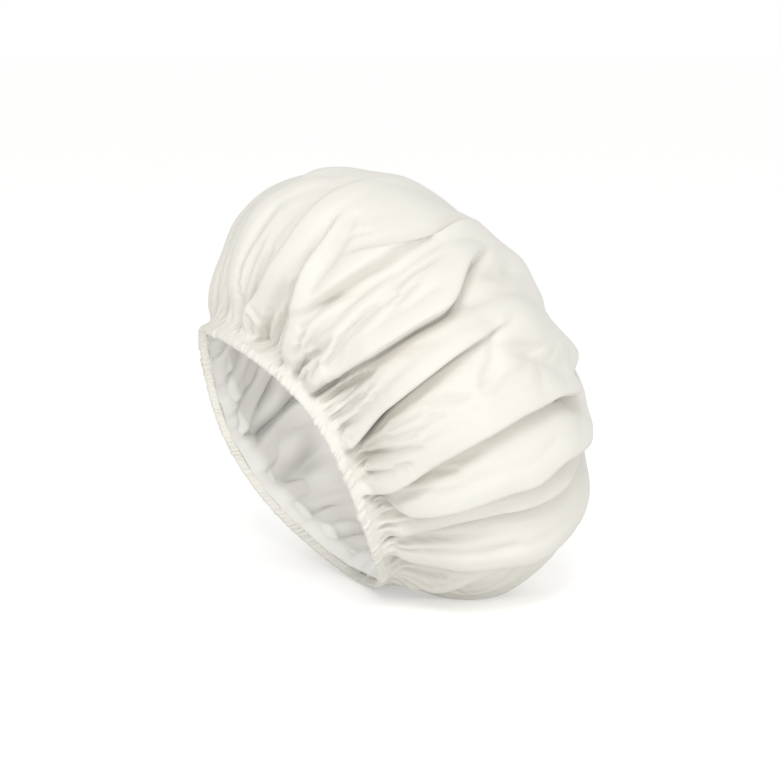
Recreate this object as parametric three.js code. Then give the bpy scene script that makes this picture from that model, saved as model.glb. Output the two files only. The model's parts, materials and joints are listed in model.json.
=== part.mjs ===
// A shampoo cap: three round-cut layers of cloth and film, gathered into a hem by an elastic.
// Millimetres, +Z up. The cap is built about its own axis, with the edge of its hem at z = 0 and its crown
// at +z, and is then laid on its side, so that the hem and the puffed side rest on the plane z = 0.
import * as THREE from "three";

// Driving dimensions of the cap
const HEM_DIAMETER = 154; // middle of the elastic, relaxed
const PUFF_DIAMETER = 238; // widest part of the shell
const PUFF_HEIGHT = 64; // edge of the hem to the widest part, along the axis
const CAP_DEPTH = 152; // edge of the hem to the crown, along the axis
const FLARE_ANGLE = 40; // degrees from the axis at which the cloth leaves the hem
const FLARE_HANDLE = 13; // how far the cloth keeps that direction
const CROWN_FULLNESS = 0.585; // 0.55 makes the crown an ellipse, more makes it squarer

// Cloth, film, binding, elastic and thread
const SHELL_THICKNESS = 0.5;
const FILM_THICKNESS = 0.3;
const LINING_THICKNESS = 1;
const BINDING_THICKNESS = 0.5;
const ELASTIC_WIDTH = 3;
const ELASTIC_THICKNESS = 0.8;
const ELASTIC_LAP = 14; // length over which the sewn ends of the elastic overlap
const SEAM_ALLOWANCE = 2.4; // how far the edges of the layers reach into the binding
const THREAD_DIAMETER = 0.5;
const CLEARANCE = 0.3; // between neighbouring pieces
const SLOT_CLEARANCE = 0.6; // between the walls of the binding and what lies in its slot

// Gathers of the binding
const GATHER_PITCH = 11;
const GATHER_DEPTH = 0.8;

// How the slack hem rises and falls along the cap: waves in a turn, height, and the angle of a first crest
const HEM_WAVES = [
  { count: 1, height: 0.8, angle: 50 },
  { count: 2, height: 1.1, angle: -5 },
  { count: 3, height: 2.7, angle: -55 },
  { count: 4, height: 0.8, angle: -37 },
];
const HEM_WAVE_REACH = 60; // distance from the seam over which the cloth stops following the hem

// Folds of the layers
const FOLD_STEP = 11; // crest to valley, measured round the widest part
const FOLD_RISE = 26; // distance from the seam over which a fold reaches its full depth
const FOLD_FADE = 60; // distance over which it dies out again
const CREST_SHARE = 0.12; // how much of a fold's depth stands out of the plain cap
const SLACK_GAP = 12.8; // degrees between two folds for each column of slack cloth between them
const LINING_FOLD_SHARE = 0.3; // depth of the folds of the loosely hanging lining, as a share of the shell's

// Resting on a table
const TABLE_SAG = 3.5; // how far the table presses the puffed side in
const TABLE_PRESS = 0.5; // how far it presses the gathers of the hem in

// Facets
const CLOTH_ROWS = 8; // rows of facets from the seam to the crown
const ROW_CROWDING = 1.15; // above 1, rows lie closer together near the hem
const ELASTIC_STEPS = 120;
const THREAD_SIDES = 4;

// The folds in order round the cap. Each has its angles at these distances from the seam, in degrees from the
// side that lies uppermost. Lean 1 puts the crest before the valley, and -1 after it. The end is the distance
// from the seam at which the fold has died out.
const FOLD_STATIONS = [0, 40, 90, 150];
const FOLDS = [
  { angles: [3, -1, 4, 5], depth: 9, lean: -1, end: 150 },
  { angles: [16, 19.5, 18, 14], depth: 9, lean: -1, end: 165 },
  { angles: [36, 32.5, 26.5, 25], depth: 12, lean: -1, end: 100 },
  { angles: [47, 41, 43, 39], depth: 6, lean: 1, end: 145 },
  { angles: [56, 58.5, 61, 48], depth: 12, lean: 1, end: 175 },
  { angles: [76, 71.5, 70, 70], depth: 9, lean: 1, end: 135 },
  { angles: [93, 90.5, 89.5, 103], depth: 10, lean: 1, end: 215 },
  { angles: [101.5, 103, 106.5, 117], depth: 12, lean: 1, end: 215 },
  { angles: [114, 111.5, 115, 125.5], depth: 8, lean: 1, end: 190 },
  { angles: [123.5, 126, 131, 141.5], depth: 13, lean: 1, end: 200 },
  { angles: [160, 154, 151, 160], depth: 7, lean: 1, end: 150 },
  { angles: [171, 174, 170, 169], depth: 7, lean: 1, end: 150 },
  { angles: [189, 187, 189, 196], depth: 7, lean: -1, end: 165 },
  { angles: [203, 207, 205, 206], depth: 7, lean: -1, end: 150 },
  { angles: [219, 222, 218, 223], depth: 11, lean: -1, end: 160 },
  { angles: [238, 234, 236, 236], depth: 10, lean: -1, end: 150 },
  { angles: [254, 256, 254, 254], depth: 10, lean: -1, end: 175 },
  { angles: [268, 271, 273, 268], depth: 11, lean: 1, end: 140 },
  { angles: [285, 282, 284, 290], depth: 10, lean: 1, end: 170 },
  { angles: [303, 306, 302, 303], depth: 12, lean: -1, end: 150 },
  { angles: [318, 321, 319.5, 319], depth: 9, lean: -1, end: 165 },
  { angles: [334, 331.5, 335, 334], depth: 10, lean: -1, end: 160 },
  { angles: [347, 352, 352.5, 355], depth: 6, lean: -1, end: 150 },
];

// Sizes that follow from the driving dimensions
const hemRadius = HEM_DIAMETER / 2;
const puffRadius = PUFF_DIAMETER / 2;
const layerStack = SHELL_THICKNESS + FILM_THICKNESS + LINING_THICKNESS + 2 * CLEARANCE;
const elasticStack = 2 * ELASTIC_THICKNESS + CLEARANCE;
const slotWidth = Math.max(layerStack, elasticStack) + 2 * SLOT_CLEARANCE;
const bindingHalf = slotWidth / 2 + BINDING_THICKNESS;
const elasticFoot = BINDING_THICKNESS + CLEARANCE;
const clothFoot = elasticFoot + ELASTIC_WIDTH + CLEARANCE;
const bindingTop = clothFoot + SEAM_ALLOWANCE;
const stitchHeight = bindingTop - SEAM_ALLOWANCE / 2;
const gatherCount = Math.round((2 * Math.PI * hemRadius) / GATHER_PITCH);
const gatherColumns = 2 * gatherCount;

// Depths of the layers under the outer face of the shell, and how far the lining hangs under its folds
const filmDepth = SHELL_THICKNESS + CLEARANCE;
const liningDepth = filmDepth + FILM_THICKNESS + CLEARANCE;
const deepestFold = Math.max(...FOLDS.map(({ depth }) => depth));
const longestFold = Math.max(...FOLDS.map(({ end }) => end));
const liningHang = (1 - LINING_FOLD_SHARE) * (1 - CREST_SHARE) * deepestFold;

// How the cap lies: its axis rises from the table by the angle at which the hem and the puffed side both
// touch it, with the puffed side pressed in by the sag.
const hemReach = hemRadius + bindingHalf + GATHER_DEPTH;
const restRise = new THREE.Vector2(puffRadius - hemReach, PUFF_HEIGHT);
const lieAngle = Math.acos(TABLE_SAG / restRise.length()) - restRise.angle();
const tableUp = new THREE.Vector3(Math.cos(lieAngle), 0, Math.sin(lieAngle)); // in the cap's own frame

const radians = THREE.MathUtils.degToRad;
const { lerp, smoothstep } = THREE.MathUtils;
const mean = (values) => values.reduce((sum, value) => sum + value, 0) / values.length;

// The point at an angle round the axis, with the angle counted from the side that lies uppermost.
function around(angle, radius, height) {
  return new THREE.Vector3(radius * Math.cos(angle), radius * Math.sin(angle), height);
}

// How far the binding swells out at an angle, where its cloth is gathered.
function gatherSwell(angle) {
  return (GATHER_DEPTH * (1 + Math.cos(gatherCount * angle))) / 2;
}

// How far the slack hem lies up the cap at an angle.
function hemWave(angle) {
  let total = 0;
  for (const wave of HEM_WAVES)
    total += wave.height * Math.cos(wave.count * (angle - radians(wave.angle)));
  return total;
}

// A solid swept round the axis through rings of points, which run clockwise with the radius to the right and
// the height upwards. It closes on itself, or has flat ends.
function sweepGeometry(rings, closed) {
  const sides = rings[0].length;
  const triangles = [];
  const at = (ring, side) => (ring % rings.length) * sides + (side % sides);
  const spans = closed ? rings.length : rings.length - 1;
  for (let ring = 0; ring < spans; ring++)
    for (let side = 0; side < sides; side++) {
      const [a, b] = [at(ring, side), at(ring, side + 1)];
      const [c, d] = [at(ring + 1, side + 1), at(ring + 1, side)];
      triangles.push(a, b, c, a, c, d);
    }
  for (let side = 1; side + 1 < sides && !closed; side++) {
    triangles.push(at(0, 0), at(0, side + 1), at(0, side));
    triangles.push(at(spans, 0), at(spans, side), at(spans, side + 1));
  }
  const geometry = new THREE.BufferGeometry();
  const vertices = rings.flat().flatMap((point) => point.toArray());
  geometry.setAttribute("position", new THREE.Float32BufferAttribute(vertices, 3));
  geometry.setIndex(triangles);
  geometry.computeVertexNormals();
  return geometry;
}

// Rings round the hem at even angles. The section gives each ring's points as radius and height at an angle.
function hemRings(count, section) {
  const rings = [];
  for (let step = 0; step < count; step++) {
    const angle = (step * 2 * Math.PI) / count;
    const rise = hemWave(angle);
    rings.push(section(angle).map(([radius, height]) => around(angle, radius, height + rise)));
  }
  return rings;
}

// The outer face of the shell in section, as a path from its cut edge in the hem to the crown.
function clothMeridian() {
  const radius = hemRadius + layerStack / 2;
  const edge = new THREE.Vector2(radius, clothFoot);
  const seamTop = new THREE.Vector2(radius, bindingTop + CLEARANCE);
  const flare = radians(FLARE_ANGLE);
  const flareEnd = new THREE.Vector2(Math.sin(flare), Math.cos(flare));
  flareEnd.multiplyScalar(FLARE_HANDLE).add(seamTop);
  const puff = new THREE.Vector2(puffRadius, PUFF_HEIGHT);
  const puffStart = new THREE.Vector2(puffRadius, lerp(PUFF_HEIGHT, flareEnd.y, CROWN_FULLNESS));
  const puffEnd = new THREE.Vector2(puffRadius, lerp(PUFF_HEIGHT, CAP_DEPTH, CROWN_FULLNESS));
  const crownStart = new THREE.Vector2(puffRadius * CROWN_FULLNESS, CAP_DEPTH);
  const crown = new THREE.Vector2(0, CAP_DEPTH);
  const path = new THREE.CurvePath();
  path.add(new THREE.LineCurve(edge, seamTop));
  path.add(new THREE.CubicBezierCurve(seamTop, flareEnd, puffStart, puff));
  path.add(new THREE.CubicBezierCurve(puff, puffEnd, crownStart, crown));
  return path;
}

const meridian = clothMeridian();
const meridianLength = meridian.getLength();
const seamLength = bindingTop + CLEARANCE - clothFoot;

// Rows of facets as distances along the meridian. The last row is the crown itself.
function clothRows() {
  const rows = [0];
  for (let row = 0; row <= CLOTH_ROWS; row++)
    rows.push(lerp(seamLength, meridianLength, (row / CLOTH_ROWS) ** ROW_CROWDING));
  return rows;
}

// Columns of facets follow the folds: a crest, a valley, and slack cloth where the next fold is far enough.
// Each has its angles, the height that it reaches above the plain cap, and where it has died out.
function clothColumns() {
  const halfStep = FOLD_STEP / PUFF_DIAMETER;
  const columns = [];
  FOLDS.forEach(({ angles, depth, lean, end }, index) => {
    const here = angles.map(radians);
    const turn = index + 1 < FOLDS.length ? 0 : 2 * Math.PI;
    const next = FOLDS[(index + 1) % FOLDS.length].angles.map((angle) => radians(angle) + turn);
    const heights = [depth * CREST_SHARE, depth * (CREST_SHARE - 1)];
    if (lean < 0) heights.reverse();
    columns.push({ angles: here.map((angle) => angle - halfStep), height: heights[0], end });
    columns.push({ angles: here.map((angle) => angle + halfStep), height: heights[1], end });
    const slack = Math.floor((mean(next) - mean(here)) / radians(SLACK_GAP));
    for (let count = 1; count <= slack; count++) {
      const between = here.map((angle, station) => lerp(angle, next[station], count / (slack + 1)));
      columns.push({ angles: between, height: 0, end });
    }
  });
  return columns;
}

const rows = clothRows();
const columns = clothColumns();

// How much of a fold there is at a distance along the meridian.
function foldShare(distance, end) {
  const risen = smoothstep(distance, seamLength, seamLength + FOLD_RISE);
  return risen * (1 - smoothstep(distance, seamLength + end - FOLD_FADE, seamLength + end));
}

// A column's angle at a distance along the meridian: straight from station to station, then on to the crown.
function columnAngle(angles, distance) {
  const along = distance - seamLength;
  const last = FOLD_STATIONS.findIndex((station) => station > along);
  if (last < 1) return last < 0 ? angles.at(-1) : angles[0];
  const [from, to] = [FOLD_STATIONS[last - 1], FOLD_STATIONS[last]];
  return lerp(angles[last - 1], angles[last], (along - from) / (to - from));
}

// A point of a layer, before the table presses it in. The layer gives its depth under the outer face, its
// share of the folds, and how far it hangs under them.
function clothPoint(column, distance, { depth, share, hang }) {
  const spot = distance / meridianLength;
  const base = meridian.getPoint(spot);
  const along = meridian.getTangent(spot);
  const fold = share * column.height * foldShare(distance, column.end);
  const lift = fold - hang * foldShare(distance, longestFold) - depth;
  const angle = columnAngle(column.angles, distance);
  const follow = 1 - smoothstep(distance, seamLength, seamLength + HEM_WAVE_REACH);
  return around(angle, base.x + along.y * lift, base.y - along.x * lift + follow * hemWave(angle));
}

// The hem binding: a folded strip with the elastic and the edges of the layers in its slot, swelled outwards
// by its gathers.
function bindingGeometry() {
  const slot = slotWidth / 2;
  const roll = BINDING_THICKNESS;
  const rings = hemRings(gatherColumns, (angle) => {
    const swell = gatherSwell(angle);
    const out = bindingHalf + swell;
    const section = [
      [out, bindingTop],
      [out, roll],
      [bindingHalf - roll, -swell],
      [roll - bindingHalf, -swell],
      [-out, roll],
      [-out, bindingTop],
      [-slot, bindingTop],
      [-slot, BINDING_THICKNESS],
      [slot, BINDING_THICKNESS],
      [slot, bindingTop],
    ];
    return section.map(([x, y]) => [hemRadius + x, y]);
  });
  return sweepGeometry(rings, true);
}

const binding = bindingGeometry();

// Height of the middle of the hem's edge above the table, from the lowest gathers of the binding.
function hemHeight() {
  const position = binding.getAttribute("position");
  const point = new THREE.Vector3();
  let lowest = Infinity;
  for (let index = 0; index < position.count; index++)
    lowest = Math.min(lowest, point.fromBufferAttribute(position, index).dot(tableUp));
  return -lowest - TABLE_PRESS;
}

const tableDrop = hemHeight();

// Moves a point that lies under the table, or nearer to it than its depth in the layers, up to there.
function pressOnTable(point, depth = 0) {
  const under = depth - tableDrop - point.dot(tableUp);
  return under > 0 ? point.addScaledVector(tableUp, under) : point;
}

function pressGeometry(geometry) {
  const position = geometry.getAttribute("position");
  const point = new THREE.Vector3();
  for (let index = 0; index < position.count; index++) {
    pressOnTable(point.fromBufferAttribute(position, index));
    position.setXYZ(index, point.x, point.y, point.z);
  }
  return geometry;
}

// One layer as a closed solid: its outer and its inner face on the same facets, joined at the cut edge.
function layerGeometry(layer, thickness) {
  const vertices = [];
  const triangles = [];
  const rings = rows.length - 1;
  const across = columns.length;
  const face = rings * across + 1;
  for (const depth of [layer.depth, layer.depth + thickness]) {
    const under = { ...layer, depth };
    for (const distance of rows.slice(0, rings))
      for (const column of columns)
        vertices.push(...pressOnTable(clothPoint(column, distance, under), depth));
    vertices.push(...clothPoint(columns[0], meridianLength, under));
  }
  const at = (row, column) => (row < rings ? row * across + (column % across) : face - 1);
  for (let column = 0; column < across; column++) {
    for (let row = 0; row < rings; row++) {
      const [a, b] = [at(row, column), at(row, column + 1)];
      const [c, d] = [at(row + 1, column + 1), at(row + 1, column)];
      triangles.push(a, b, d, face + a, face + d, face + b);
      if (row + 1 < rings) triangles.push(b, c, d, face + b, face + d, face + c);
    }
    const [a, b] = [at(0, column), at(0, column + 1)];
    triangles.push(b, a, face + a, b, face + a, face + b);
  }
  const geometry = new THREE.BufferGeometry();
  geometry.setAttribute("position", new THREE.Float32BufferAttribute(vertices, 3));
  geometry.setIndex(triangles);
  geometry.computeVertexNormals();
  return geometry;
}

// The elastic: one strip bent round, with its ends lapped, so that it runs out by one thickness in a turn.
function elasticGeometry() {
  const lapAngle = ELASTIC_LAP / hemRadius;
  const runOut = ELASTIC_THICKNESS + CLEARANCE;
  const half = ELASTIC_THICKNESS / 2;
  const rings = [];
  for (let step = 0; step <= ELASTIC_STEPS; step++) {
    const angle = ((2 * Math.PI + lapAngle) * step) / ELASTIC_STEPS;
    const middle = hemRadius + runOut * (smoothstep(angle, lapAngle, 2 * Math.PI) - 1 / 2);
    const foot = elasticFoot + hemWave(angle);
    const top = foot + ELASTIC_WIDTH;
    const corners = [[half, top], [half, foot], [-half, foot], [-half, top]];
    rings.push(corners.map(([out, height]) => around(angle, middle + out, height)));
  }
  return sweepGeometry(rings, false);
}

// A row of stitches: one thread that lies on the gathers of the binding, on its outer or its inner side.
function threadGeometry(side) {
  const half = THREAD_DIAMETER / 2;
  const rings = hemRings(gatherColumns, (angle) => {
    const middle = hemRadius + side * (bindingHalf + CLEARANCE + half + gatherSwell(angle));
    return Array.from({ length: THREAD_SIDES }, (_, corner) => {
      const turn = (-corner * 2 * Math.PI) / THREAD_SIDES;
      return [middle + half * Math.cos(turn), stitchHeight + half * Math.sin(turn)];
    });
  });
  return sweepGeometry(rings, true);
}

const cap = new THREE.Group();

function addPiece(name, geometry, color, roughness) {
  const mesh = new THREE.Mesh(geometry, new THREE.MeshStandardMaterial({ color, roughness, metalness: 0 }));
  mesh.name = name;
  cap.add(mesh);
}

const [cream, milky, fleece, webbing, yarn] = [0xf4efe4, 0xf2f2ee, 0xeeeae2, 0xf0ece2, 0xf1ecdf];
const shellLayer = { depth: 0, share: 1, hang: 0 };
const filmLayer = { depth: filmDepth, share: 1, hang: 0 };
const liningLayer = { depth: liningDepth, share: LINING_FOLD_SHARE, hang: liningHang };
addPiece("outer_shell", layerGeometry(shellLayer, SHELL_THICKNESS), cream, 0.45);
addPiece("barrier_film", layerGeometry(filmLayer, FILM_THICKNESS), milky, 0.3);
addPiece("absorbent_lining", layerGeometry(liningLayer, LINING_THICKNESS), fleece, 0.9);
addPiece("hem_binding", pressGeometry(binding), cream, 0.5);
addPiece("elastic_band", elasticGeometry(), webbing, 0.8);
addPiece("needle_thread", threadGeometry(1), yarn, 0.7);
addPiece("bobbin_thread", threadGeometry(-1), yarn, 0.7);

// Lays the cap on its side, with the origin on the table under the middle of its outline.
const upperSide = new THREE.Vector3(-Math.sin(lieAngle), 0, Math.cos(lieAngle));
const axis = new THREE.Vector3(Math.cos(lieAngle), 0, Math.sin(lieAngle));
const nearSide = new THREE.Vector3().crossVectors(axis, upperSide);
cap.setRotationFromMatrix(new THREE.Matrix4().makeBasis(upperSide, nearSide, axis));
cap.position.z = tableDrop;
const middle = new THREE.Box3().setFromObject(cap, true).getCenter(new THREE.Vector3());
cap.position.x -= middle.x;
cap.position.y -= middle.y;

const part = new THREE.Group();
part.add(cap);
export default part;
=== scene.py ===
"""A cream shampoo cap of gathered cloth, lying on its side on a white table."""
import json
from collections import namedtuple

import bpy
import numpy as np
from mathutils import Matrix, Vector


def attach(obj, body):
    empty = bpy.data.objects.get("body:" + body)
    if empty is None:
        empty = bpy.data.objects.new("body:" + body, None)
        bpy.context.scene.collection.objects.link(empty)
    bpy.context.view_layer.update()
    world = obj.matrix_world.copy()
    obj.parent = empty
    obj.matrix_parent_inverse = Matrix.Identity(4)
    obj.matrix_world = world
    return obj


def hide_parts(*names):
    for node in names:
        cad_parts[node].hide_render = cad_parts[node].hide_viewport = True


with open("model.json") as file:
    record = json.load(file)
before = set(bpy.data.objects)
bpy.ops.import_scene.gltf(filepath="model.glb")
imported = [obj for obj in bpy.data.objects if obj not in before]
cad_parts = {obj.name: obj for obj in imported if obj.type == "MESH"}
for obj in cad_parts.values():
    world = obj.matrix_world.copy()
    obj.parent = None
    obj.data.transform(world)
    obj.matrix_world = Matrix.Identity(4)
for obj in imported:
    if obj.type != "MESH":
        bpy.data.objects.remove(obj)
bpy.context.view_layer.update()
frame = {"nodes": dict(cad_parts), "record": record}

MM = 0.001

# Sizes of the cap in millimetres, as in the solids
HEM_RADIUS = 77
PUFF_RADIUS = 119
PUFF_HEIGHT = 64
CAP_DEPTH = 152
CROWN_FULLNESS = 0.585

# The curve of the side, from the hem to the widest part
FLARE = (15, 20)  # out and along: the direction in which the cloth leaves the hem
PUFF_TURN = 35  # how far below the widest part the side turns straight

# The three layers
SHELL_THICKNESS = 0.4
FILM_THICKNESS = 0.1
LINING_THICKNESS = 0.8
CLOTH_EDGE = 2  # how far from the edge of the hem the layers end, inside the roll
LINING_DEPTH = 9  # how far inside the plain cap the lining hangs
HEM_LINING_DEPTH = 0.8  # the same at the hem, where it is sewn in
LAYER_GAP = 1.6  # from the outer cloth to the lining, with the film between them
HEM_LAYER_GAP = 0.7  # the same at the hem
LAYERS_PART = (CLOTH_EDGE, 10)  # distances from the hem between which the layers part
PRESSED_GAP = 0.15  # between layers that the table presses together
TABLE_EASE = 2.5  # height over which cloth near the table flattens on to it

# The rolled hem with the elastic in it, and its pleats
ROLL_THICKNESS = 3.4
ROLL_HEIGHT = 5.6
ROLL_SQUARENESS = 0.8  # 1 makes its section an ellipse, less makes it squarer
GROOVES = 210  # drawn-in places round the hem
GROOVE_THINNER, GROOVE_LOWER = 0.3, 0.4  # how far a groove is drawn in, across and along the roll
PLEAT_THICKER, PLEAT_HIGHER = 0.8, 0.6  # how much of a pleat's swell goes across and along the roll
PLEAT_SLANT = 1.2  # how far a pleat runs along the hem from its middle to its edges
FULL_PLEAT = 3  # width of a pleat that swells by one millimetre at most
SWELL_LIMIT = 1.4  # how far the widest pleats swell at most
FULLNESS_MEAN, FULLNESS_SPREAD = 0.65, 0.35  # how full the pleats are on average, and how this varies
PLEAT_JITTER = 0.3  # how unevenly the pleats sit

# The stitches
STITCH_LENGTH = 2.2
STITCH_GAP = 1.0
STITCH_SIDE = 2  # sides of the roll from its outermost or innermost one up to the stitches
STITCH_LIFT = (-0.25, 0.12, 0.2, 0.12, -0.25)  # how far a stitch stands off the hem, with its ends sunk in
THREAD_RADIUS = 0.22

# Facets: the outer cloth settles on a coarse grid, and gets its sharp creases on a finer one
COLUMNS, ROWS = 400, 120
COLUMN_SPLITS, ROW_SPLITS = 3, 2
COARSER = 2  # columns of the outer cloth to one of the lining; the film is coarser again, both ways
HEM_CROWDING = 0.45  # how much closer together the rows are near the hem
ROLL_COLUMNS, ROLL_SIDES = 2400, 20

# The camera, in degrees, millimetres and pixels of the photograph
CAMERA_AZIMUTH, CAMERA_ELEVATION = -23.2, 12.4
CAMERA_DISTANCE = 950
IMAGE_WIDTH, IMAGE_HEIGHT = 780, 781
FOCAL_PIXELS = 1900
HEM_CENTRE_PIXEL = (284.5, 460)
SENSOR_WIDTH = 36

# Looks
CREAM, CREAM_SHADE = (0.81, 0.785, 0.725), (0.78, 0.755, 0.69)
FLEECE, FLEECE_SHADE = (0.8, 0.785, 0.755), (0.77, 0.755, 0.725)
CLOTH_SHINE, SHEEN_ROUGHNESS = 0.3, 0.4
THREAD_WAVINESS, THREAD_WAVE_SCALE = 1.5, 2
WEAVE_STRENGTH, WEAVE_DEPTH = 0.12, 0.2
CLOUD_SCALE, CLOUD_DETAIL = 22, 6  # the cloudy unevenness of the colour
CLOUD_RANGE = (0.3, 0.7)
# samples of the ambient occlusion that paints shade into the colour of creases
CREASE_SAMPLES = 8
TABLE_WHITE, TABLE_ROUGHNESS = (0.88, 0.88, 0.87), 0.9
TABLE_REACH = 40  # metres
TABLE_GLOW, SEEN_TABLE_GLOW = 0.1, 0.27  # the glow of the table, and what is added where it is seen directly
ROOM_LIGHT, SEEN_ROOM_LIGHT = 0.7, 1  # the light that the white room gives, and how bright it is seen

# How folds take shape
CREST_SHARE = 0.3  # how much of a step stands out of the plain cap
FOLD_LEAN = 0.22  # how far a crest leans over its valley, as a share of the depth
LEAN_REACH = 1.8  # how far from the crest the cloth leans with it, in widths of the fold
PATH_ROUNDING = 12  # distance over which the corners of a fold's path are rounded off
CROWN_RADIUS = 20  # nearer to the axis than this, a sideways shift turns the cloth no further
HEM_WAVE_REACH = (7, 67)  # distances from the hem between which the cloth stops following its waves
GATHER_START = -8  # before the edge of the hem, so that a gather is at its deepest there
GATHER_SHARES, GATHER_FADE = (0.4, 1.0), 0.75  # shares of the full depth, and of the length that fades out
WRINKLE_SHARES, WRINKLE_FADE = (0.3, 1.0), 0.45  # the same for the wrinkles, which fade at both ends
WRINKLE_WIDTH, WRINKLE_DRIFT = 1.2, 7

# Where each of these grows from the hem and where it dies out, as distances from the hem and from the crown
FOLD_ENDS = (CLOTH_EDGE, 9), (60, 4)
SWELL_ENDS = (5, 50), (70, 0)
LOOSE_ENDS = (4, 12), (50, 15)

# How the cloth finds its wrinkles
SETTLE_STEPS = 200
SETTLED_WIDTH = 3.5  # half the width of the sharpest fold on the coarse grid
STRETCH, SHEAR, BEND = 0.5, 0.15, 0.1  # how strongly the cloth resists each
STEP_SHARE = 0.3  # how much of the springs' pull is followed in a step
HOLD, HOLD_EVERY = 0.3, 4  # how strongly its broad shape is held, and every how many steps
NEAR_HEM = (15, 60)  # distances from the hem between which the cloth gets freer
HEM_SPARE, HEM_SPARE_REACH = 0.22, 22  # share of spare width at the hem, and how far it reaches
PUFF_SPARE, PUFF_SPARE_REACH = 0.06, 130

# How the slack hem rises and falls, as in the solids: waves in a turn, height, angle of a crest
HEM_WAVES = [(1, 0.8, 50), (2, 1.1, -5), (3, 2.7, -55), (4, 0.8, -37)]

# A fold runs along a path of (distance from the hem, angle from the upper side to the near side). Side 1
# or -1 makes it a step with its valley at larger or smaller angles, and side 0 a pinch. Crest and valley
# are how far it spreads to each side.
Fold = namedtuple("Fold", "path depth side width crest valley fade_in fade_out")


def step(path, depth, side=1, width=1.5, crest=14, valley=14, fade_in=18, fade_out=45):
    return Fold(path, depth, side, width, crest, valley, fade_in, fade_out)


def far_step(path, depth, side=-1, width=1.5):
    """A step of the far side, which grows and dies out slowly."""
    return step(path, depth, side, width, fade_in=30, fade_out=80)


def lining_step(path, depth, crest, valley):
    """A narrow step of the lining, which starts right at the hem."""
    return step(path, depth, -1, 1.2, crest, valley, fade_in=5)


def pinch(path, depth, width=1.0, reach=5, fade_in=6, fade_out=20):
    return Fold(path, depth, 0, width, reach, reach, fade_in, fade_out)


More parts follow.
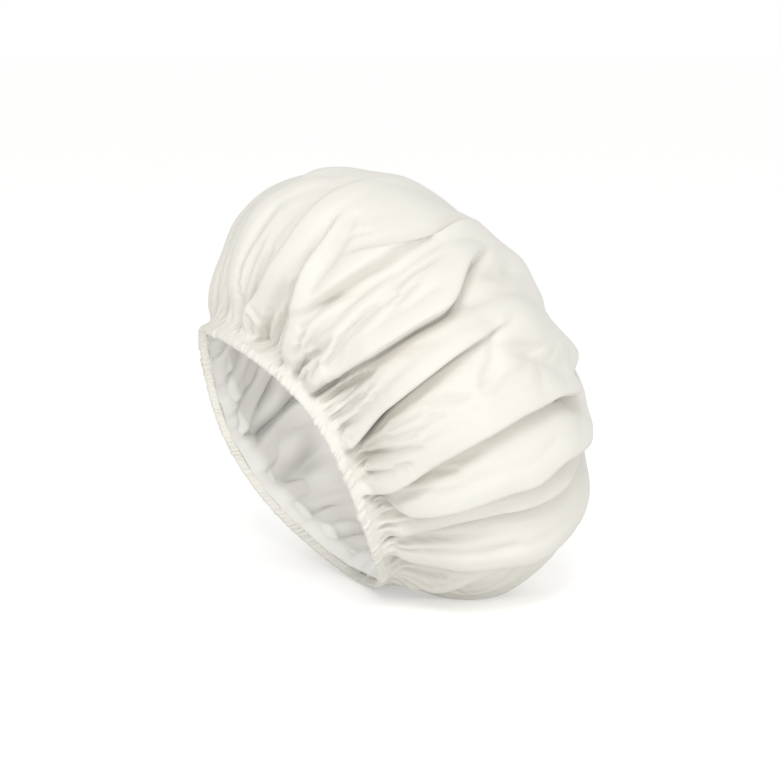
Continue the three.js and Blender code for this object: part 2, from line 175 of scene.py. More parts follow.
# Main folds of the outer cloth, first those of the side that shows and then those of the far side. After its
# path a step has its depth and side, and a pinch its depth, width, reach and how it fades in and out.
SHELL_FOLDS = [
    step([(4, 3), (19, 3), (28, 1), (45, -1.5), (65, -1), (87, 3), (110, 9), (150, 14)], 19, -1, valley=13),
    step([(4, 11), (28, 18), (51, 20.5), (75, 19.5), (97, 18), (131, 14), (150, 12)],
         21, -1, valley=17, fade_out=70),
    step([(2, 39), (16, 37), (30, 34.5), (45, 31.5), (58, 30), (85, 26)],
         18, -1, width=1.2, valley=15, fade_in=10),
    pinch([(34, 37), (52, 35.5), (68, 33.5), (90, 27)], 4, 2, 5, 14, 30),
    step([(20, 36), (49, 40), (60, 41.5), (85, 43), (110, 43), (140, 40)],
         12, 1, width=2, valley=11, fade_in=34),
    pinch([(30, 45), (65, 45), (84, 45.5), (118, 45)], 3, 0.8, 3.5, 30, 40),
    pinch([(26, 50), (59, 48.5), (80, 48), (116, 48)], 3, 0.8, 3.5, 30, 40),
    step([(65, 36), (93, 40.5), (116, 41.5), (132, 39.5), (170, 33)],
         7, -1, crest=7, valley=15, fade_in=26),
    step([(10, 52), (41, 50), (57, 49.5), (100, 49.5)], 6, 1, width=2.5, valley=10, fade_in=30),
    pinch([(45, 54.5), (77, 55.5), (95, 55.5), (118, 54)], 3, 2.5, 7, 26, 36),
    step([(3, 53), (23, 56.5), (46, 59), (73, 60), (91, 61), (102, 58.5), (115, 54), (128, 51.5), (150, 48)],
         17, 1, width=1.6, valley=15, fade_in=12, fade_out=38),
    pinch([(86, 60.5), (108, 61), (134, 63), (153, 67.5), (195, 76)], 6, 3.5, 9, 25, 45),
    pinch([(120, 56), (148, 57.5), (165, 58), (195, 63)], 6, 3, 7, 24, 40),
    step([(1, 78), (7, 77), (18, 75), (31, 72), (49, 71), (77, 70), (130, 70)],
         16, 1, width=1, valley=19, fade_in=10, fade_out=75),
    pinch([(80, 79), (98, 75.5), (103, 71), (116, 66)], 2.5, 3, 6, 12, 16),
    pinch([(96, 72), (123, 82), (136, 90), (190, 98)], 6, 4, 11, 30, 50),
    step([(0, 93), (4, 95), (24, 93.5), (36, 91), (48, 89.5), (68, 88.5), (91, 89.5), (119, 93.5),
          (137, 100.5), (215, 116)], 17, 1, width=1.2, valley=15, fade_in=10),
    step([(5, 97), (16, 101), (20, 104), (42, 103.5), (66, 104), (84, 107), (104, 107), (125, 113.5),
          (215, 130)], 18, 1, width=1.5, valley=17),
    step([(0, 115), (10, 115.5), (18, 113.5), (41, 110), (65, 111), (84, 114.5), (190, 128)],
         16, 1, width=1.2),
    step([(0, 120), (6, 124.5), (16, 127), (30, 125.5), (59, 126.5), (81, 130), (200, 150)],
         17, 1, width=1.2),
    step([(6, 152), (27, 146), (45, 135), (61, 132), (110, 131)], 11, 1),
    pinch([(6, 136), (30, 131), (54, 127.5), (74, 127)], 5, 1.2, 6, 16, 30),
    pinch([(3, 44), (16, 46), (31, 47.5), (42, 48)], 5, 0.8, 4),
    pinch([(8, 57.5), (20, 58.5), (34, 60.5), (44, 61)], 5, 0.8, 4),
    pinch([(4, 84), (17, 82.5), (30, 81.5)], 4, 0.8, 4),
    pinch([(3, 64), (17, 64.5), (32, 65)], 5, 0.8, 4),
    pinch([(2, 20.5), (17, 23), (32, 26), (46, 27)], 5, 1, 5),
    pinch([(2, 26.5), (19, 27.5), (33, 28.5)], 5, 0.8, 4),
    step([(0, 158), (50, 154), (100, 150), (150, 150)], 12, 1),
    step([(0, 171), (45, 174), (110, 168), (150, 164)], 10, 1),
    step([(0, 189), (60, 186), (120, 192), (170, 198)], 12, -1),
    far_step([(0, 203), (50, 208), (105, 204), (150, 206)], 11),
    far_step([(0, 219), (40, 222), (95, 218), (160, 224)], 13, width=1.2),
    far_step([(0, 238), (55, 233), (110, 238), (150, 235)], 11),
    far_step([(0, 254), (50, 257), (120, 251), (175, 256)], 14, width=1.2),
    far_step([(0, 268), (40, 271), (95, 274), (140, 269)], 11, 1),
    far_step([(0, 285), (60, 281), (120, 287), (170, 292)], 13, 1),
    far_step([(0, 303), (45, 306), (105, 300), (150, 303)], 13, width=1.2),
    far_step([(0, 318), (60, 322), (120, 317), (165, 320)], 11),
    step([(0, 334), (50, 331), (110, 337), (160, 333)], 13, -1),
    step([(0, 348), (30, 352), (55, 354), (105, 352), (150, 356)], 11, -1),
]

# Broad dents in the outer cloth: distance from the hem, angle, depth, half length, half width in degrees
DENTS = [
    (48, 335, 8, 26, 26), (165, 102, 8, 20, 8), (188, 85, 6, 20, 10),
    (157, 116, 4, 18, 8), (91, 140, 8, 12, 4),
]

# Folds of the lining, with their heights counted inwards
LINING_FOLDS = [
    lining_step([(4, 315), (14, 311), (26, 305), (70, 304)], 8, crest=6, valley=5),
    lining_step([(4, 295), (22, 295), (36, 294), (90, 298)], 9, crest=7, valley=6),
    lining_step([(3, 279), (8, 280), (28, 282), (46, 284.5), (100, 288)], 10, crest=8, valley=7),
    lining_step([(3, 264.5), (8, 266), (20, 269.5), (36, 271.5), (90, 276)], 9, crest=8, valley=6),
    pinch([(3, 256), (20, 259.5), (42, 258), (69, 259), (100, 257)], 6, 2, 6, 6, 40),
    pinch([(4, 240), (18, 241), (40, 243), (80, 246)], 4, 3, 8, 8, 40),
    pinch([(8, 220.5), (20, 220.5), (47, 220.5), (90, 222)], 7, 1, 5, 8, 40),
    pinch([(6, 206), (40, 208), (90, 206)], 4, 1.5, 7, 8, 40),
]
EVEN_FOLD_PITCH = 18  # degrees between the lining's folds where it doesn't show
EVEN_FOLD_SWAY = 3
for turn in range(-26, 188, EVEN_FOLD_PITCH):
    sway = EVEN_FOLD_SWAY * (-1) ** (turn // EVEN_FOLD_PITCH)
    LINING_FOLDS.append(pinch([(6, turn), (45, turn + sway), (95, turn)], 5, 1.5, 8, 8, 40))

# Where the slack lining billows inwards, in the same terms as the dents
BILLOWS = [
    (28, 303, 4, 18, 4), (30, 289, 5, 22, 4.5), (34, 277, 5, 20, 4), (44, 266, 6, 18, 5),
    (40, 251, 7, 18, 5.5), (48, 236, 6, 18, 5), (38, 227, 4, 20, 4), (24, 213, 7, 16, 5.5),
]
random = np.random.default_rng(11)


def bezier(points, count=300):
    t = np.linspace(0, 1, count)[:, None]
    a, b, c, d = np.array(points, float)
    return (1 - t) ** 3 * a + 3 * t * (1 - t) ** 2 * b + 3 * t**2 * (1 - t) * c + t**3 * d


def plain_profile():
    """The plain cap in section, as (radius, height) from the edge of the hem to the crown."""
    hem, puff = (HEM_RADIUS, 0), (PUFF_RADIUS, PUFF_HEIGHT)
    rise = CAP_DEPTH - PUFF_HEIGHT
    side = [hem, (HEM_RADIUS + FLARE[0], FLARE[1]), (PUFF_RADIUS, PUFF_HEIGHT - PUFF_TURN), puff]
    crown = [puff, (PUFF_RADIUS, PUFF_HEIGHT + CROWN_FULLNESS * rise)]
    crown += [(PUFF_RADIUS * CROWN_FULLNESS, CAP_DEPTH), (0, CAP_DEPTH)]
    return np.vstack([bezier(side), bezier(crown)[1:]])


PROFILE = plain_profile()
PROFILE_STEPS = np.linalg.norm(np.diff(PROFILE, axis=0), axis=1)
PROFILE_DISTANCE = np.concatenate([[0], np.cumsum(PROFILE_STEPS)])
MERIDIAN = PROFILE_DISTANCE[-1]
PROFILE_SLOPE = np.gradient(PROFILE, PROFILE_DISTANCE, axis=0)


def on_profile(values, distance):
    return np.interp(distance, PROFILE_DISTANCE, values)


def smoothstep(low, high, value):
    t = np.clip((value - low) / (high - low), 0, 1)
    return t * t * (3 - 2 * t)


def between_ends(ends, distance):
    """A share that grows from the hem and dies out at the crown."""
    hem, crown = ends
    return smoothstep(*hem, distance) * (1 - smoothstep(MERIDIAN - crown[0], MERIDIAN - crown[1], distance))


def turn_from(angle, other):
    """How far an angle is turned from another, by the shorter way round."""
    return (angle - other + np.pi) % (2 * np.pi) - np.pi


def fold_angle(path, distance):
    """A fold's angle at each distance, with the corners of its path rounded off."""
    along, angles = np.array(path, float).T
    offsets = np.linspace(-PATH_ROUNDING, PATH_ROUNDING, 9)
    weights = np.cos(offsets / PATH_ROUNDING * np.pi / 2) ** 2
    samples = np.interp(distance[:, None] + offsets, along, angles)
    return np.radians(samples @ weights / weights.sum())


def add_fold(fold, angle, distance, height, shift, least_width=0, sign=1):
    """Adds one fold to the heights and sideways shifts of a grid of rows by columns, or takes it away."""
    first, last = fold.path[0][0], fold.path[-1][0]
    rows = np.nonzero((distance >= first) & (distance <= last))[0]
    if len(rows) == 0:
        return
    along = distance[rows]
    radius = np.maximum(on_profile(PROFILE[:, 0], along), 1)
    strength = smoothstep(first - 1, first + fold.fade_in, along)
    strength = strength * (1 - smoothstep(last - fold.fade_out, last, along))
    across = turn_from(angle[None, :], fold_angle(fold.path, along)[:, None]) * radius[:, None]
    size = sign * fold.depth * strength[:, None]
    width = max(fold.width, least_width)
    if fold.side == 0:
        rounded = np.sqrt(across**2 + width**2) - width
        height[rows] -= size * np.exp(-rounded / fold.crest)
        return
    across = across * fold.side + FOLD_LEAN * np.abs(size)
    rounded = np.sqrt(across**2 + width**2) - width
    crest = CREST_SHARE * np.exp(-rounded / fold.crest)
    valley = (1 - CREST_SHARE) * np.exp(-np.abs(across) / fold.valley)
    height[rows] -= size * np.tanh(across / width) * np.where(across < 0, crest, valley)
    lean = np.exp(-(((across + width) / (LEAN_REACH * width)) ** 2))
    shift[rows] += fold.side * FOLD_LEAN * size * lean


def random_wrinkles(count, depth, lengths, reach, lowest, highest):
    """Short soft creases in the body of the cloth, mostly along the cap."""
    folds = []
    for _ in range(count):
        start = random.uniform(lowest, highest)
        length = random.uniform(*lengths)
        angle = random.uniform(0, 360)
        path = [(start, angle), (start + length, angle + random.normal(0, WRINKLE_DRIFT))]
        size = depth * random.uniform(*WRINKLE_SHARES)
        fade = WRINKLE_FADE * length
        folds.append(pinch(path, size, WRINKLE_WIDTH, reach, fade, fade))
    return folds


def hem_grooves():
    """Angles in degrees at which the elastic draws the hem in, unevenly spaced."""
    widths = random.gamma(4, 1, GROOVES)
    return np.cumsum(widths) * 360 / widths.sum()


def hem_gathers(angles, depth, lengths, width, reach, drift):
    """Pinches that run from the hem into the cloth."""
    folds = []
    for start in angles:
        length = random.uniform(*lengths)
        end = start + random.normal(0, drift)
        path = [(GATHER_START, start), (length, end)]
        size = depth * random.uniform(*GATHER_SHARES)
        folds.append(pinch(path, size, width, reach, fade_in=1, fade_out=GATHER_FADE * length))
    return folds


GROOVE_ANGLES = hem_grooves()
LONG_GATHERS = hem_gathers(GROOVE_ANGLES[::5], 4, lengths=(35, 80), width=1.5, reach=4.5, drift=3)
SHORT_GATHERS = hem_gathers(GROOVE_ANGLES[::2], 2.4, lengths=(14, 34), width=0.5, reach=2.2, drift=1.5)
SHORT_GATHERS += hem_gathers(GROOVE_ANGLES[1::2], 1.3, lengths=(7, 15), width=0.3, reach=1.2, drift=0.7)
WRINKLES = random_wrinkles(120, depth=2.0, lengths=(25, 60), reach=6, lowest=20, highest=150)
PLEAT_OFFSETS = np.random.default_rng(7).normal(0, PLEAT_JITTER, (2, GROOVES + 2))


def swells(angle, distance, seed, size, waves=12, shortest=90):
    """Broad soft unevenness, the same after a full turn."""
    rng = np.random.default_rng(seed)
    total = np.zeros((len(distance), len(angle)))
    for _ in range(waves):
        around = rng.integers(3, 13)
        along = rng.uniform(-1, 1) * 2 * np.pi / shortest
        phase = rng.uniform(0, 2 * np.pi)
        total += np.cos(around * angle[None, :] + along * distance[:, None] + phase)
    return total * between_ends(SWELL_ENDS, distance)[:, None] * size / np.sqrt(waves)


def soft_lumps(lumps, angle, distance):
    """The heights of dents or billows, which fade out smoothly all round."""
    total = np.zeros((len(distance), len(angle)))
    for middle, turn, depth, length, width in lumps:
        across = turn_from(angle, np.radians(turn))
        along = np.exp(-(((distance - middle) / length) ** 2))
        total += depth * along[:, None] * np.exp(-((across / np.radians(width)) ** 2))
    return total


# Where the cap lies: the middle of its hem and its axis, from the opening's mount
opening = next(m for m in frame["record"]["mounts"] if m["name"] == "head_opening")
hem_centre = np.array(opening["pos_m"])
axis = -np.array(opening["axis"])
upper_side = np.array([0, 0, 1]) - axis * axis[2]
upper_side /= np.linalg.norm(upper_side)
near_side = np.cross(axis, upper_side)


def round_axis(angle, radius, height):
    """Points round the cap's axis, in millimetres: upper side, near side and along the axis."""
    return np.stack([radius * np.cos(angle), radius * np.sin(angle), height + 0 * angle], -1)


def in_row_frame(spots, lowest=0):
    """The same points in metres in the row frame, eased on to the table or on to the layers under them."""
    points = spots @ np.array([upper_side, near_side, axis]) * MM + hem_centre
    ease = TABLE_EASE * MM
    over = points[..., 2] - lowest * MM
    eased = ease * np.exp(np.minimum(over, ease) / ease - 1)
    points[..., 2] = np.where(over < ease, eased, over) + lowest * MM
    return points


def hem_wave(angle):
    return sum(height * np.cos(count * (angle - np.radians(crest))) for count, height, crest in HEM_WAVES)


def columns(count):
    return np.arange(count) * 2 * np.pi / count


def cloth_rows(count):
    """Distances from the hem, closer together near it, where the gathers are."""
    t = np.linspace(0, 1, count)
    return CLOTH_EDGE + (MERIDIAN - CLOTH_EDGE) * ((1 - HEM_CROWDING) * t + HEM_CROWDING * t**2)


def place(angle, distance, height, shift):
    """Points of a grid of rows by columns, from their heights over the plain cap and sideways shifts."""
    radius = on_profile(PROFILE[:, 0], distance)[:, None]
    wave = (1 - smoothstep(*HEM_WAVE_REACH, distance))[:, None] * hem_wave(angle)
    along = on_profile(PROFILE[:, 1], distance)[:, None] + wave
    slope_r = on_profile(PROFILE_SLOPE[:, 0], distance)[:, None]
    slope_z = on_profile(PROFILE_SLOPE[:, 1], distance)[:, None]
    turned = angle[None, :] + shift / np.maximum(radius, CROWN_RADIUS)
    return round_axis(turned, np.maximum(radius + slope_z * height, 0), along - slope_r * height)


def end_fade(distance):
    """Folds leave the edge in the hem and the middle of the crown as they are."""
    return between_ends(FOLD_ENDS, distance)[:, None]


def broad_folds(angle, distance):
    """The outer cloth before it settles: its height over the plain cap, and its sideways shift."""
    height = swells(angle, distance, seed=3, size=1.2) - soft_lumps(DENTS, angle, distance)
    shift = np.zeros_like(height)
    for fold in SHELL_FOLDS + LONG_GATHERS + WRINKLES:
        add_fold(fold, angle, distance, height, shift, SETTLED_WIDTH if fold.side else 0)
    return height * end_fade(distance), shift * end_fade(distance)


def sharp_creases(angle, distance):
    """How far the sharp edges of the main folds and the short gathers move the settled cloth."""
    height = np.zeros((len(distance), len(angle)))
    shift = np.zeros_like(height)
    for fold in SHELL_FOLDS:
        if fold.side:
            add_fold(fold, angle, distance, height, shift)
            add_fold(fold, angle, distance, height, shift, SETTLED_WIDTH, -1)
    for fold in SHORT_GATHERS:
        add_fold(fold, angle, distance, height, shift)
    height, shift = height * end_fade(distance), shift * end_fade(distance)
    return place(angle, distance, height, shift) - place(angle, distance, 0 * height, 0 * shift)


def spring_pull(start, end, rest, strength):
    """How far each spring moves its first end to come nearer to its rest length."""
    span = end - start
    length = np.sqrt((span**2).sum(axis=-1)) + 1e-6
    return span * (strength * (1 - rest / length))[..., None]


def blur(field, widths):
    """Evens a field out along and round the cap, by wider and wider averages."""
    for width in widths:
        field = 0.5 * field + 0.25 * (np.roll(field, width, axis=1) + np.roll(field, -width, axis=1))
        ends = np.pad(field, [(width, width)] + [(0, 0)] * (field.ndim - 1), mode="edge")
        field = 0.5 * field + 0.25 * (ends[: -2 * width] + ends[2 * width :])
    return field


def round_springs(goal, spare, near_hem):
    """Springs to the next columns round the cap, as (columns on, rest lengths, strength)."""
    wider = 1 + spare.astype(np.float32)[:, None]
    springs = []
    for reach, strength in ((1, STRETCH), (2, BEND), (3, BEND * (1 - near_hem))):
        rest = wider * np.linalg.norm(np.roll(goal, -reach, axis=1) - goal, axis=-1)
        springs.append((reach, rest, strength))
    return springs


def along_springs(goal):
    """Straight and slanting springs to the next rows, as (rows on, turn, rest lengths, strength)."""
    springs = []
    for rows, turn, strength in ((1, 0, STRETCH), (2, 0, BEND), (1, -1, SHEAR), (1, 1, SHEAR)):
        rest = np.linalg.norm(np.roll(goal[rows:], turn, axis=1) - goal[:-rows], axis=-1)
        springs.append((rows, turn, rest, strength))
    return springs


def spring_moves(cloth, around, along):
    """How far all the springs together move each point."""
    move = np.zeros_like(cloth)
    for reach, rest, strength in around:
        pull = spring_pull(cloth, np.roll(cloth, -reach, axis=1), rest, strength)
        move += pull - np.roll(pull, reach, axis=1)
    for rows, turn, rest, strength in along:
        pull = spring_pull(cloth[:-rows], np.roll(cloth[rows:], turn, axis=1), rest, strength)
        move[:-rows] += pull
        move[rows:] -= np.roll(pull, -turn, axis=1)
    return move


def settle(goal, distance, spare, steps):
    """Lets cloth with some width to spare buckle into wrinkles, while its broad shape stays at the goal."""
    cloth = goal.astype(np.float32)
    goal = cloth.copy()
    free = between_ends(LOOSE_ENDS, distance).astype(np.float32)[:, None, None]
    near_hem = (1 - smoothstep(*NEAR_HEM, distance)).astype(np.float32)[:, None]
    around, along = round_springs(goal, spare, near_hem), along_springs(goal)
    for count in range(steps):
        cloth += STEP_SHARE * free * spring_moves(cloth, around, along)
        if count % HOLD_EVERY == 0:
            fine = blur(goal - cloth, (1, 2))
            broad = blur(fine, (4,))
            cloth += HOLD * free * (broad + near_hem[..., None] * (fine - broad))
    return cloth


def spare_width(distance):
    """How much wider the cloth is than its main folds take up: most at the hem, and none at the crown."""
    hem = HEM_SPARE * np.exp(-distance / HEM_SPARE_REACH)
    return hem + PUFF_SPARE * np.exp(-((distance / PUFF_SPARE_REACH) ** 2))


def refine(points, times, closed):
    """Puts more points between those of the first axis, on smooth curves through them."""
    if closed:
        ends = np.concatenate([points[-1:], points, points[:2]])
    else:
        ends = np.concatenate([points[:1], points, points[-1:], points[-1:]])
    before, here, after, further = ends[:-3], ends[1:-2], ends[2:-1], ends[3:]
    parts = []
    for share in np.arange(times) / times:
        square, cube = share**2, share**3
        part = (square - (share + cube) / 2) * before + (1 - 2.5 * square + 1.5 * cube) * here
        part = part + (share / 2 + 2 * square - 1.5 * cube) * after + (cube - square) / 2 * further
        parts.append(part)
    finer = np.stack(parts, axis=1).reshape(-1, *points.shape[1:])
    return finer if closed else finer[: len(finer) - times + 1]


def height_over_plain(spots, angle, distance):
    """How far settled cloth stands out from the plain cap."""
    flat = np.zeros((len(distance), len(angle)))
    plain = place(angle, distance, flat, flat)
    outward = place(angle, distance, flat + 1, flat) - plain
    return ((spots - plain) * outward).sum(axis=-1)


def lowest_near(height, columns_each_way=10, rows_each_way=4):
    """A smoothed lowest height of all those near each point, so that a layer there clears leaning folds."""
    low = height
    for turn in range(-columns_each_way, columns_each_way + 1):
        low = np.minimum(low, np.roll(height, turn, axis=1))
    ends = np.pad(low, ((rows_each_way, rows_each_way), (0, 0)), mode="edge")
    low = np.min([ends[k : k + len(low)] for k in range(2 * rows_each_way + 1)], axis=0)
    return blur(low, (1, 2, 3))


def layer_gap(distance):
    """From the outer cloth to the lining: little in the hem, where both are sewn in, and more beyond it."""
    return (HEM_LAYER_GAP + (LAYER_GAP - HEM_LAYER_GAP) * smoothstep(*LAYERS_PART, distance))[:, None]


def lining_field(angle, distance, outer):
    """The lining's folds, kept under the outer cloth: its height, and its sideways shift."""
    inward = LINING_DEPTH + swells(angle, distance, seed=5, size=1.4) + soft_lumps(BILLOWS, angle, distance)
    parted = smoothstep(*LAYERS_PART, distance)[:, None]
    inward = HEM_LINING_DEPTH + (inward - HEM_LINING_DEPTH) * parted
    shift = np.zeros_like(inward)
    for fold in LINING_FOLDS:
        add_fold(fold, angle, distance, inward, shift)
    return np.minimum(-inward, outer - layer_gap(distance)), shift


def flat_cut(angle, distance):
    """Where each point lies on the round cut, with the disc in the unit square."""
    reach = (MERIDIAN - distance)[:, None] / (2 * MERIDIAN)
    return np.stack([0.5 + reach * np.cos(angle), 0.5 + reach * np.sin(angle)], -1)


def dome_mesh(name, points, cut):
    """A mesh of rings that close round the cap, with its last ring drawn together at the crown."""
    rings, around = points.shape[:2]
    body = points[:-1].reshape(-1, 3)
    vertices = np.vstack([body, points[-1].mean(axis=0, keepdims=True)])
    row, col = np.meshgrid(np.arange(rings - 2), np.arange(around), indexing="ij")
    here, beside = row * around + col, row * around + (col + 1) % around
    quads = np.stack([here, beside, beside + around, here + around], -1).reshape(-1, 4)
    last = (rings - 2) * around
    ring = np.arange(around)
    fan = np.stack([last + ring, last + (ring + 1) % around, np.full(around, len(body))], -1)
    mesh = bpy.data.meshes.new(name)
    mesh.from_pydata(vertices.tolist(), [], quads.tolist() + fan.tolist())
    spots = np.vstack([cut[:-1].reshape(-1, 2), [[0.5, 0.5]]])
    layer = mesh.uv_layers.new(name="flat_cut")
    corners = np.empty(len(mesh.loops), dtype=np.int32)
    mesh.loops.foreach_get("vertex_index", corners)
    layer.data.foreach_set("uv", spots[corners].ravel())
    return finish_mesh(mesh)


def finish_mesh(mesh):
    mesh.polygons.foreach_set("use_smooth", np.ones(len(mesh.polygons), dtype=bool))
    mesh.update()
    piece = bpy.data.objects.new(mesh.name, mesh)
    bpy.context.scene.collection.objects.link(piece)
    return piece


def thicken(piece, thickness):
    layer = piece.modifiers.new("thickness", "SOLIDIFY")
    layer.thickness = thickness * MM
    layer.offset = -1


def layer_piece(name, spots, angle, distance, thickness, lowest=0):
    piece = dome_mesh(name, in_row_frame(spots, lowest), flat_cut(angle, distance))
    thicken(piece, thickness)
    return piece


def cloth_pieces():
    """The outer cloth, the film under it and the lining."""
    angle, distance = columns(COLUMNS), cloth_rows(ROWS)
    goal = place(angle, distance, *broad_folds(angle, distance))
    outer = settle(goal, distance, spare_width(distance), SETTLE_STEPS)
    outer = refine(outer, ROW_SPLITS, False)
    outer = refine(outer.swapaxes(0, 1), COLUMN_SPLITS, True).swapaxes(0, 1)
    angle, distance = columns(outer.shape[1]), cloth_rows(outer.shape[0])
    outer = outer + sharp_creases(angle, distance)
    ceiling = lowest_near(height_over_plain(outer, angle, distance))[:, ::COARSER]
    shell = layer_piece("outer_cloth", outer, angle, distance, SHELL_THICKNESS)
    angle = angle[::COARSER]
    height, shift = lining_field(angle, distance, ceiling)
    inner = place(angle, distance, height, shift)
    middle = place(angle, distance, ceiling - 0.5 * layer_gap(distance), 0 * shift)[::COARSER, ::COARSER]
    film_rest = SHELL_THICKNESS + PRESSED_GAP
    lining_rest = film_rest + FILM_THICKNESS + PRESSED_GAP
    lining = layer_piece("lining_cloth", inner, angle, distance, LINING_THICKNESS, lining_rest)
    angle, distance = angle[::COARSER], distance[::COARSER]
    film = layer_piece("film_sheet", middle, angle, distance, FILM_THICKNESS, film_rest)
    return shell, film, lining


def hem_pleats(angle):
    """How far the hem swells out between its grooves at each angle, and which pleat each angle is in."""
    edges = np.concatenate([[GROOVE_ANGLES[-1] - 360], GROOVE_ANGLES, [GROOVE_ANGLES[0] + 360]])
    edges = np.radians(edges)
    pleat = np.searchsorted(edges, angle % (2 * np.pi), side="right") - 1
    width = edges[pleat + 1] - edges[pleat]
    across = 2 * (angle % (2 * np.pi) - edges[pleat]) / width - 1
    fullness = FULLNESS_MEAN + FULLNESS_SPREAD * np.sin(5 * angle + 1) * np.sin(13 * angle + 2)
    return (1 - across**2) * fullness * np.minimum(width * HEM_RADIUS / FULL_PLEAT, SWELL_LIMIT), pleat


def roll_section(angle):
    """The rolled hem's section round the elastic, as radius and height over angles by sides."""
    turn = columns(ROLL_SIDES)[None, :]
    out, up = np.cos(turn), np.sin(turn)
    swell, pleat = hem_pleats(angle[:, None] + PLEAT_SLANT * up / HEM_RADIUS)
    offset = PLEAT_OFFSETS[:, pleat] * swell
    groove_width = ROLL_THICKNESS / 2 - GROOVE_THINNER
    groove_height = ROLL_HEIGHT / 2 - GROOVE_LOWER
    half_width = groove_width + PLEAT_THICKER * swell
    half_height = groove_height + PLEAT_HIGHER * swell
    radius = HEM_RADIUS + offset[0] + half_width * np.sign(out) * np.abs(out) ** ROLL_SQUARENESS
    height = groove_height + offset[1] + half_height * np.sign(up) * np.abs(up) ** ROLL_SQUARENESS
    return radius, height + hem_wave(angle)[:, None]


def roll_piece():
    angle = columns(ROLL_COLUMNS)
    radius, height = roll_section(angle)
    points = in_row_frame(round_axis(angle[:, None] + 0 * radius, radius, height))
    ring, side = np.meshgrid(np.arange(ROLL_COLUMNS), np.arange(ROLL_SIDES), indexing="ij")
    next_ring, next_side = (ring + 1) % ROLL_COLUMNS, (side + 1) % ROLL_SIDES
    corners = [(ring, side), (next_ring, side), (next_ring, next_side), (ring, next_side)]
    quads = np.stack([a * ROLL_SIDES + b for a, b in corners], -1).reshape(-1, 4)
    mesh = bpy.data.meshes.new("hem_roll")
    mesh.from_pydata(points.reshape(-1, 3).tolist(), [], quads.tolist())
    return finish_mesh(mesh)


def stitch_piece(name, outward):
    """A row of short stitches on the outer or the inner face of the rolled hem."""
    curve = bpy.data.curves.new(name, "CURVE")
    curve.dimensions = "3D"
    curve.bevel_depth = THREAD_RADIUS * MM
    curve.bevel_resolution = 2
    curve.use_fill_caps = True
    pitch = STITCH_LENGTH + STITCH_GAP
    count = round(2 * np.pi * HEM_RADIUS / pitch)
    side = STITCH_SIDE if outward else ROLL_SIDES // 2 - STITCH_SIDE
    lift = np.array(STITCH_LIFT) * (1 if outward else -1)
    for start in columns(count):
        angle = start + np.linspace(0, STITCH_LENGTH / HEM_RADIUS, len(lift))
        radius, height = roll_section(angle)
        points = in_row_frame(round_axis(angle, radius[:, side] + lift, height[:, side]))
        spline = curve.splines.new("POLY")
        spline.points.add(len(points) - 1)
        for spot, point in zip(spline.points, points):
            spot.co = (*point, 1)
    piece = bpy.data.objects.new(name, curve)
    bpy.context.scene.collection.objects.link(piece)
    return piece


def new_material(name, color, roughness):
    material = bpy.data.materials.new(name)
    material.use_nodes = True
    shader = material.node_tree.nodes["Principled BSDF"]
    shader.inputs["Roughness"].default_value = roughness
    shader.inputs["Base Color"].default_value = (*color, 1)
    return material, material.node_tree, shader


def link(tree, source, target):
    tree.links.new(source, target)


def cloth_material(name, color, shade, roughness, threads, sheen, painted_shade_reach=2.5, painted_shade_power=0.7):
    """Woven cloth: straight threads across the flat cut, uneven colour, and painted shade in the colour of
    its creases.
    """
    material, tree, shader = new_material(name, color, roughness)
    shader.inputs["Sheen Weight"].default_value = sheen
    shader.inputs["Sheen Roughness"].default_value = SHEEN_ROUGHNESS
    shader.inputs["Specular IOR Level"].default_value = CLOTH_SHINE
    spots = tree.nodes.new("ShaderNodeTexCoord")
    weave_threads(tree, spots.outputs["UV"], shader, threads)
    uneven = uneven_color(tree, spots.outputs["Object"], color, shade)
    paint_crease_shade(tree, uneven, shader, painted_shade_reach, painted_shade_power)
    return material


def weave_threads(tree, spot, shader, threads):
    """Raises threads in both directions of the flat cut."""
    both = tree.nodes.new("ShaderNodeMath")
    both.operation = "ADD"
    for index, direction in enumerate(("X", "Y")):
        wave = tree.nodes.new("ShaderNodeTexWave")
        wave.bands_direction = direction
        wave.inputs["Scale"].default_value = threads
        wave.inputs["Distortion"].default_value = THREAD_WAVINESS
        wave.inputs["Detail Scale"].default_value = THREAD_WAVE_SCALE
        link(tree, spot, wave.inputs["Vector"])
        link(tree, wave.outputs["Fac"], both.inputs[index])
    bump = tree.nodes.new("ShaderNodeBump")
    bump.inputs["Strength"].default_value = WEAVE_STRENGTH
    bump.inputs["Distance"].default_value = WEAVE_DEPTH * MM
    link(tree, both.outputs[0], bump.inputs["Height"])
    link(tree, bump.outputs["Normal"], shader.inputs["Normal"])


def uneven_color(tree, spot, color, shade):
    """A colour that wanders between two close ones in soft clouds."""
    cloud = tree.nodes.new("ShaderNodeTexNoise")
    cloud.inputs["Scale"].default_value = CLOUD_SCALE
    cloud.inputs["Detail"].default_value = CLOUD_DETAIL
    link(tree, spot, cloud.inputs["Vector"])
    ramp = tree.nodes.new("ShaderNodeValToRGB")
    for element, position, tone in zip(ramp.color_ramp.elements, CLOUD_RANGE, (shade, color)):
        element.position = position
        element.color = (*tone, 1)
    link(tree, cloud.outputs["Fac"], ramp.inputs["Fac"])
    return ramp.outputs["Color"]


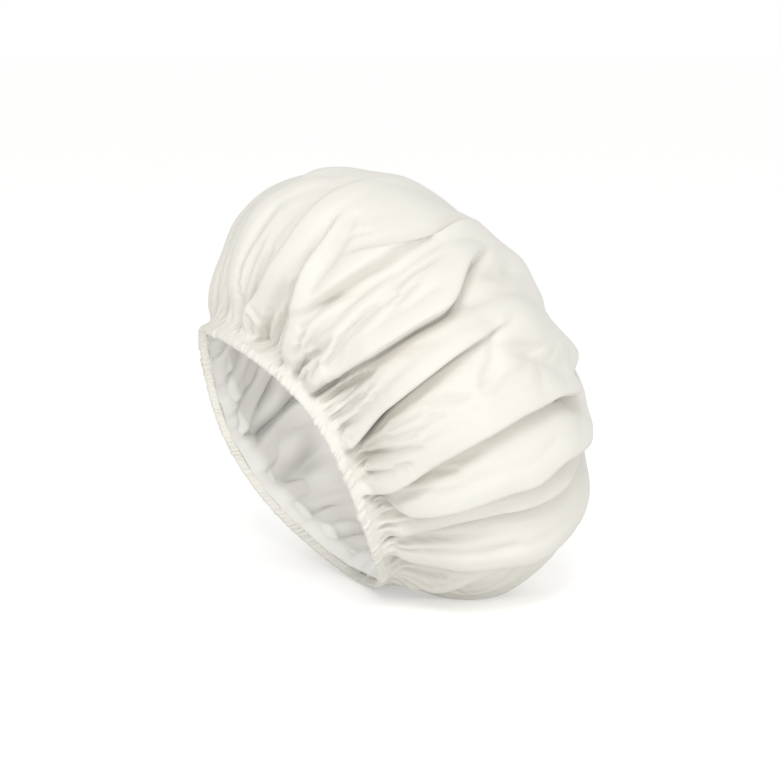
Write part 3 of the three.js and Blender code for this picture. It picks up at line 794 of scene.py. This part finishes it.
def paint_crease_shade(tree, color, shader, reach, shade):
    """Paints shade into the colour where cloth lies close to itself in a crease, from ambient occlusion."""
    # painted shade: the base colour is darkened where ambient occlusion finds cloth close by
    openness = tree.nodes.new("ShaderNodeAmbientOcclusion")
    openness.only_local = True
    openness.samples = CREASE_SAMPLES
    openness.inputs["Distance"].default_value = reach * MM
    deepen = tree.nodes.new("ShaderNodeMath")
    deepen.operation = "POWER"
    deepen.inputs[1].default_value = shade
    link(tree, openness.outputs["AO"], deepen.inputs[0])
    mix = tree.nodes.new("ShaderNodeMix")
    mix.data_type = "RGBA"
    mix.blend_type = "MULTIPLY"
    mix.inputs["Factor"].default_value = 1
    first_color, second_color = [socket for socket in mix.inputs if socket.type == "RGBA"]
    mixed_color = next(socket for socket in mix.outputs if socket.type == "RGBA")
    link(tree, color, first_color)
    link(tree, deepen.outputs[0], second_color)
    link(tree, mixed_color, shader.inputs["Base Color"])


shell, film, lining = cloth_pieces()
roll = roll_piece()
needle_stitches = stitch_piece("needle_stitches", True)
bobbin_stitches = stitch_piece("bobbin_stitches", False)

# every cloth material paints shade into the colour of its creases; the lining's painted shade reaches wider
# and is deeper
shell_cloth = cloth_material("cream_cloth", CREAM, CREAM_SHADE, roughness=0.55, threads=400, sheen=0.25)
lining_cloth = cloth_material("lining_fleece", FLEECE, FLEECE_SHADE, roughness=0.9, threads=300, sheen=0.1,
                              painted_shade_reach=12, painted_shade_power=1.0)
film_plastic = cloth_material("milky_film", FLEECE, FLEECE_SHADE, roughness=0.3, threads=40, sheen=0)
elastic_webbing = cloth_material("elastic_webbing", FLEECE, FLEECE_SHADE,
                                 roughness=0.8, threads=300, sheen=0.1)
thread = cloth_material("cream_thread", CREAM, CREAM_SHADE, roughness=0.6, threads=400, sheen=0.2)

PIECES = [
    (shell, shell_cloth, "shell_cloth", ["outer_shell"]),
    (lining, lining_cloth, "lining_fleece", ["absorbent_lining"]),
    (film, film_plastic, "film", ["barrier_film"]),
    (roll, shell_cloth, "binding_cloth", ["hem_binding"]),
    (needle_stitches, thread, "sewing_thread", ["needle_thread"]),
    (bobbin_stitches, thread, "sewing_thread", ["bobbin_thread"]),
]
for piece, material, slot, nodes in PIECES:
    piece.data.materials.append(material)
    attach(piece, "root")
    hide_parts(*nodes)
elastic = frame["nodes"]["elastic_band"]
elastic.data.materials.clear()
elastic.data.materials.append(elastic_webbing)


def add_camera():
    """The photograph's camera: it sees the middle of the hem at its pixel, from its side and height."""
    azimuth, elevation = np.radians(CAMERA_AZIMUTH), np.radians(CAMERA_ELEVATION)
    level = np.cos(elevation)
    back = Vector((np.sin(azimuth) * level, -np.cos(azimuth) * level, np.sin(elevation)))
    right = Vector((np.cos(azimuth), np.sin(azimuth), 0))
    up = back.cross(right)
    across = IMAGE_WIDTH / 2 - HEM_CENTRE_PIXEL[0]
    down = HEM_CENTRE_PIXEL[1] - IMAGE_HEIGHT / 2
    look = -back * FOCAL_PIXELS + right * across + up * down
    data = bpy.data.cameras.new("camera")
    data.sensor_fit = "HORIZONTAL"
    data.sensor_width = SENSOR_WIDTH
    data.lens = FOCAL_PIXELS * SENSOR_WIDTH / IMAGE_WIDTH
    camera = bpy.data.objects.new("camera", data)
    camera.location = Vector(hem_centre) + back * CAMERA_DISTANCE * MM
    camera.rotation_mode = "QUATERNION"
    camera.rotation_quaternion = look.to_track_quat("-Z", "Y")
    bpy.context.scene.collection.objects.link(camera)
    bpy.context.scene.camera = camera


def add_lamp(name, spot, aim, size, power, only=(), blocked_by=(), without=()):
    """A soft round lamp, for the whole scene, for some pieces only, or for all but some."""
    data = bpy.data.lights.new(name, "AREA")
    data.shape = "DISK"
    data.size = size
    data.energy = power
    lamp = bpy.data.objects.new(name, data)
    lamp.visible_camera = False
    lamp.location = spot
    lamp.rotation_mode = "QUATERNION"
    lamp.rotation_quaternion = (Vector(aim) - Vector(spot)).to_track_quat("-Z", "Y")
    bpy.context.scene.collection.objects.link(lamp)
    if only or without:
        group = collect(name + "_lit", [*only, *without])
        for member in group.collection_objects[len(only):]:
            member.light_linking.link_state = "EXCLUDE"
        lamp.light_linking.receiver_collection = group
    if blocked_by:
        lamp.light_linking.blocker_collection = collect(name + "_shaded", blocked_by)


def collect(name, pieces):
    group = bpy.data.collections.new(name)
    for piece in pieces:
        group.objects.link(piece)
    return group


def add_lamps():
    """Two lamps light the cap from outside. The lining gets the light that comes through thin cloth.

    Places and sizes are in metres, and powers in watts.
    """
    middle, low_middle = (0, 0, 0.1), (0, 0, 0.08)
    add_lamp("key", (-0.55, -1.0, 1.2), middle, size=0.6, power=8.0, without=[lining])
    add_lamp("fill", (-0.3, -1.3, 0.2), low_middle, size=1.0, power=3.5, without=[lining])
    add_lamp("through_cloth", (-0.5, -1.0, 0.7), low_middle, size=0.6, power=9.5,
             only=[lining], blocked_by=[bobbin_stitches])
    inside = Vector(hem_centre + 0.02 * axis)
    far_rim = inside + Vector((-0.05, 1, 0))
    add_lamp("inside_light", inside, far_rim, size=0.06, power=0.028, only=[roll, bobbin_stitches])


def add_floor():
    """The white table, which glows a little, and more where it is seen directly."""
    mesh = bpy.data.meshes.new("floor")
    corners = [(x * TABLE_REACH, y * TABLE_REACH, 0) for x, y in ((-1, -1), (1, -1), (1, 1), (-1, 1))]
    mesh.from_pydata(corners, [], [(0, 1, 2, 3)])
    floor = bpy.data.objects.new("floor", mesh)
    bpy.context.scene.collection.objects.link(floor)
    material, tree, shader = new_material("white_table", TABLE_WHITE, TABLE_ROUGHNESS)
    glow = tree.nodes.new("ShaderNodeEmission")
    ray = tree.nodes.new("ShaderNodeLightPath")
    strength = tree.nodes.new("ShaderNodeMath")
    strength.operation = "MULTIPLY_ADD"
    strength.inputs[1].default_value = SEEN_TABLE_GLOW
    strength.inputs[2].default_value = TABLE_GLOW
    link(tree, ray.outputs["Is Camera Ray"], strength.inputs[0])
    link(tree, strength.outputs[0], glow.inputs["Strength"])
    both = tree.nodes.new("ShaderNodeAddShader")
    link(tree, shader.outputs[0], both.inputs[0])
    link(tree, glow.outputs[0], both.inputs[1])
    link(tree, both.outputs[0], tree.nodes["Material Output"].inputs["Surface"])
    mesh.materials.append(material)


def add_world():
    """A white room, which looks brighter than the light that it gives."""
    world = bpy.data.worlds.new("studio")
    world.use_nodes = True
    tree = world.node_tree
    background = tree.nodes["Background"]
    seen = tree.nodes.new("ShaderNodeBackground")
    for node, strength in ((background, ROOM_LIGHT), (seen, SEEN_ROOM_LIGHT)):
        node.inputs["Color"].default_value = (1, 1, 1, 1)
        node.inputs["Strength"].default_value = strength
    ray = tree.nodes.new("ShaderNodeLightPath")
    mix = tree.nodes.new("ShaderNodeMixShader")
    link(tree, ray.outputs["Is Camera Ray"], mix.inputs["Fac"])
    link(tree, background.outputs[0], mix.inputs[1])
    link(tree, seen.outputs[0], mix.inputs[2])
    link(tree, mix.outputs[0], tree.nodes["World Output"].inputs["Surface"])
    bpy.context.scene.world = world


add_camera()
add_lamps()
add_floor()
add_world()
bpy.context.scene.view_settings.view_transform = "Standard"
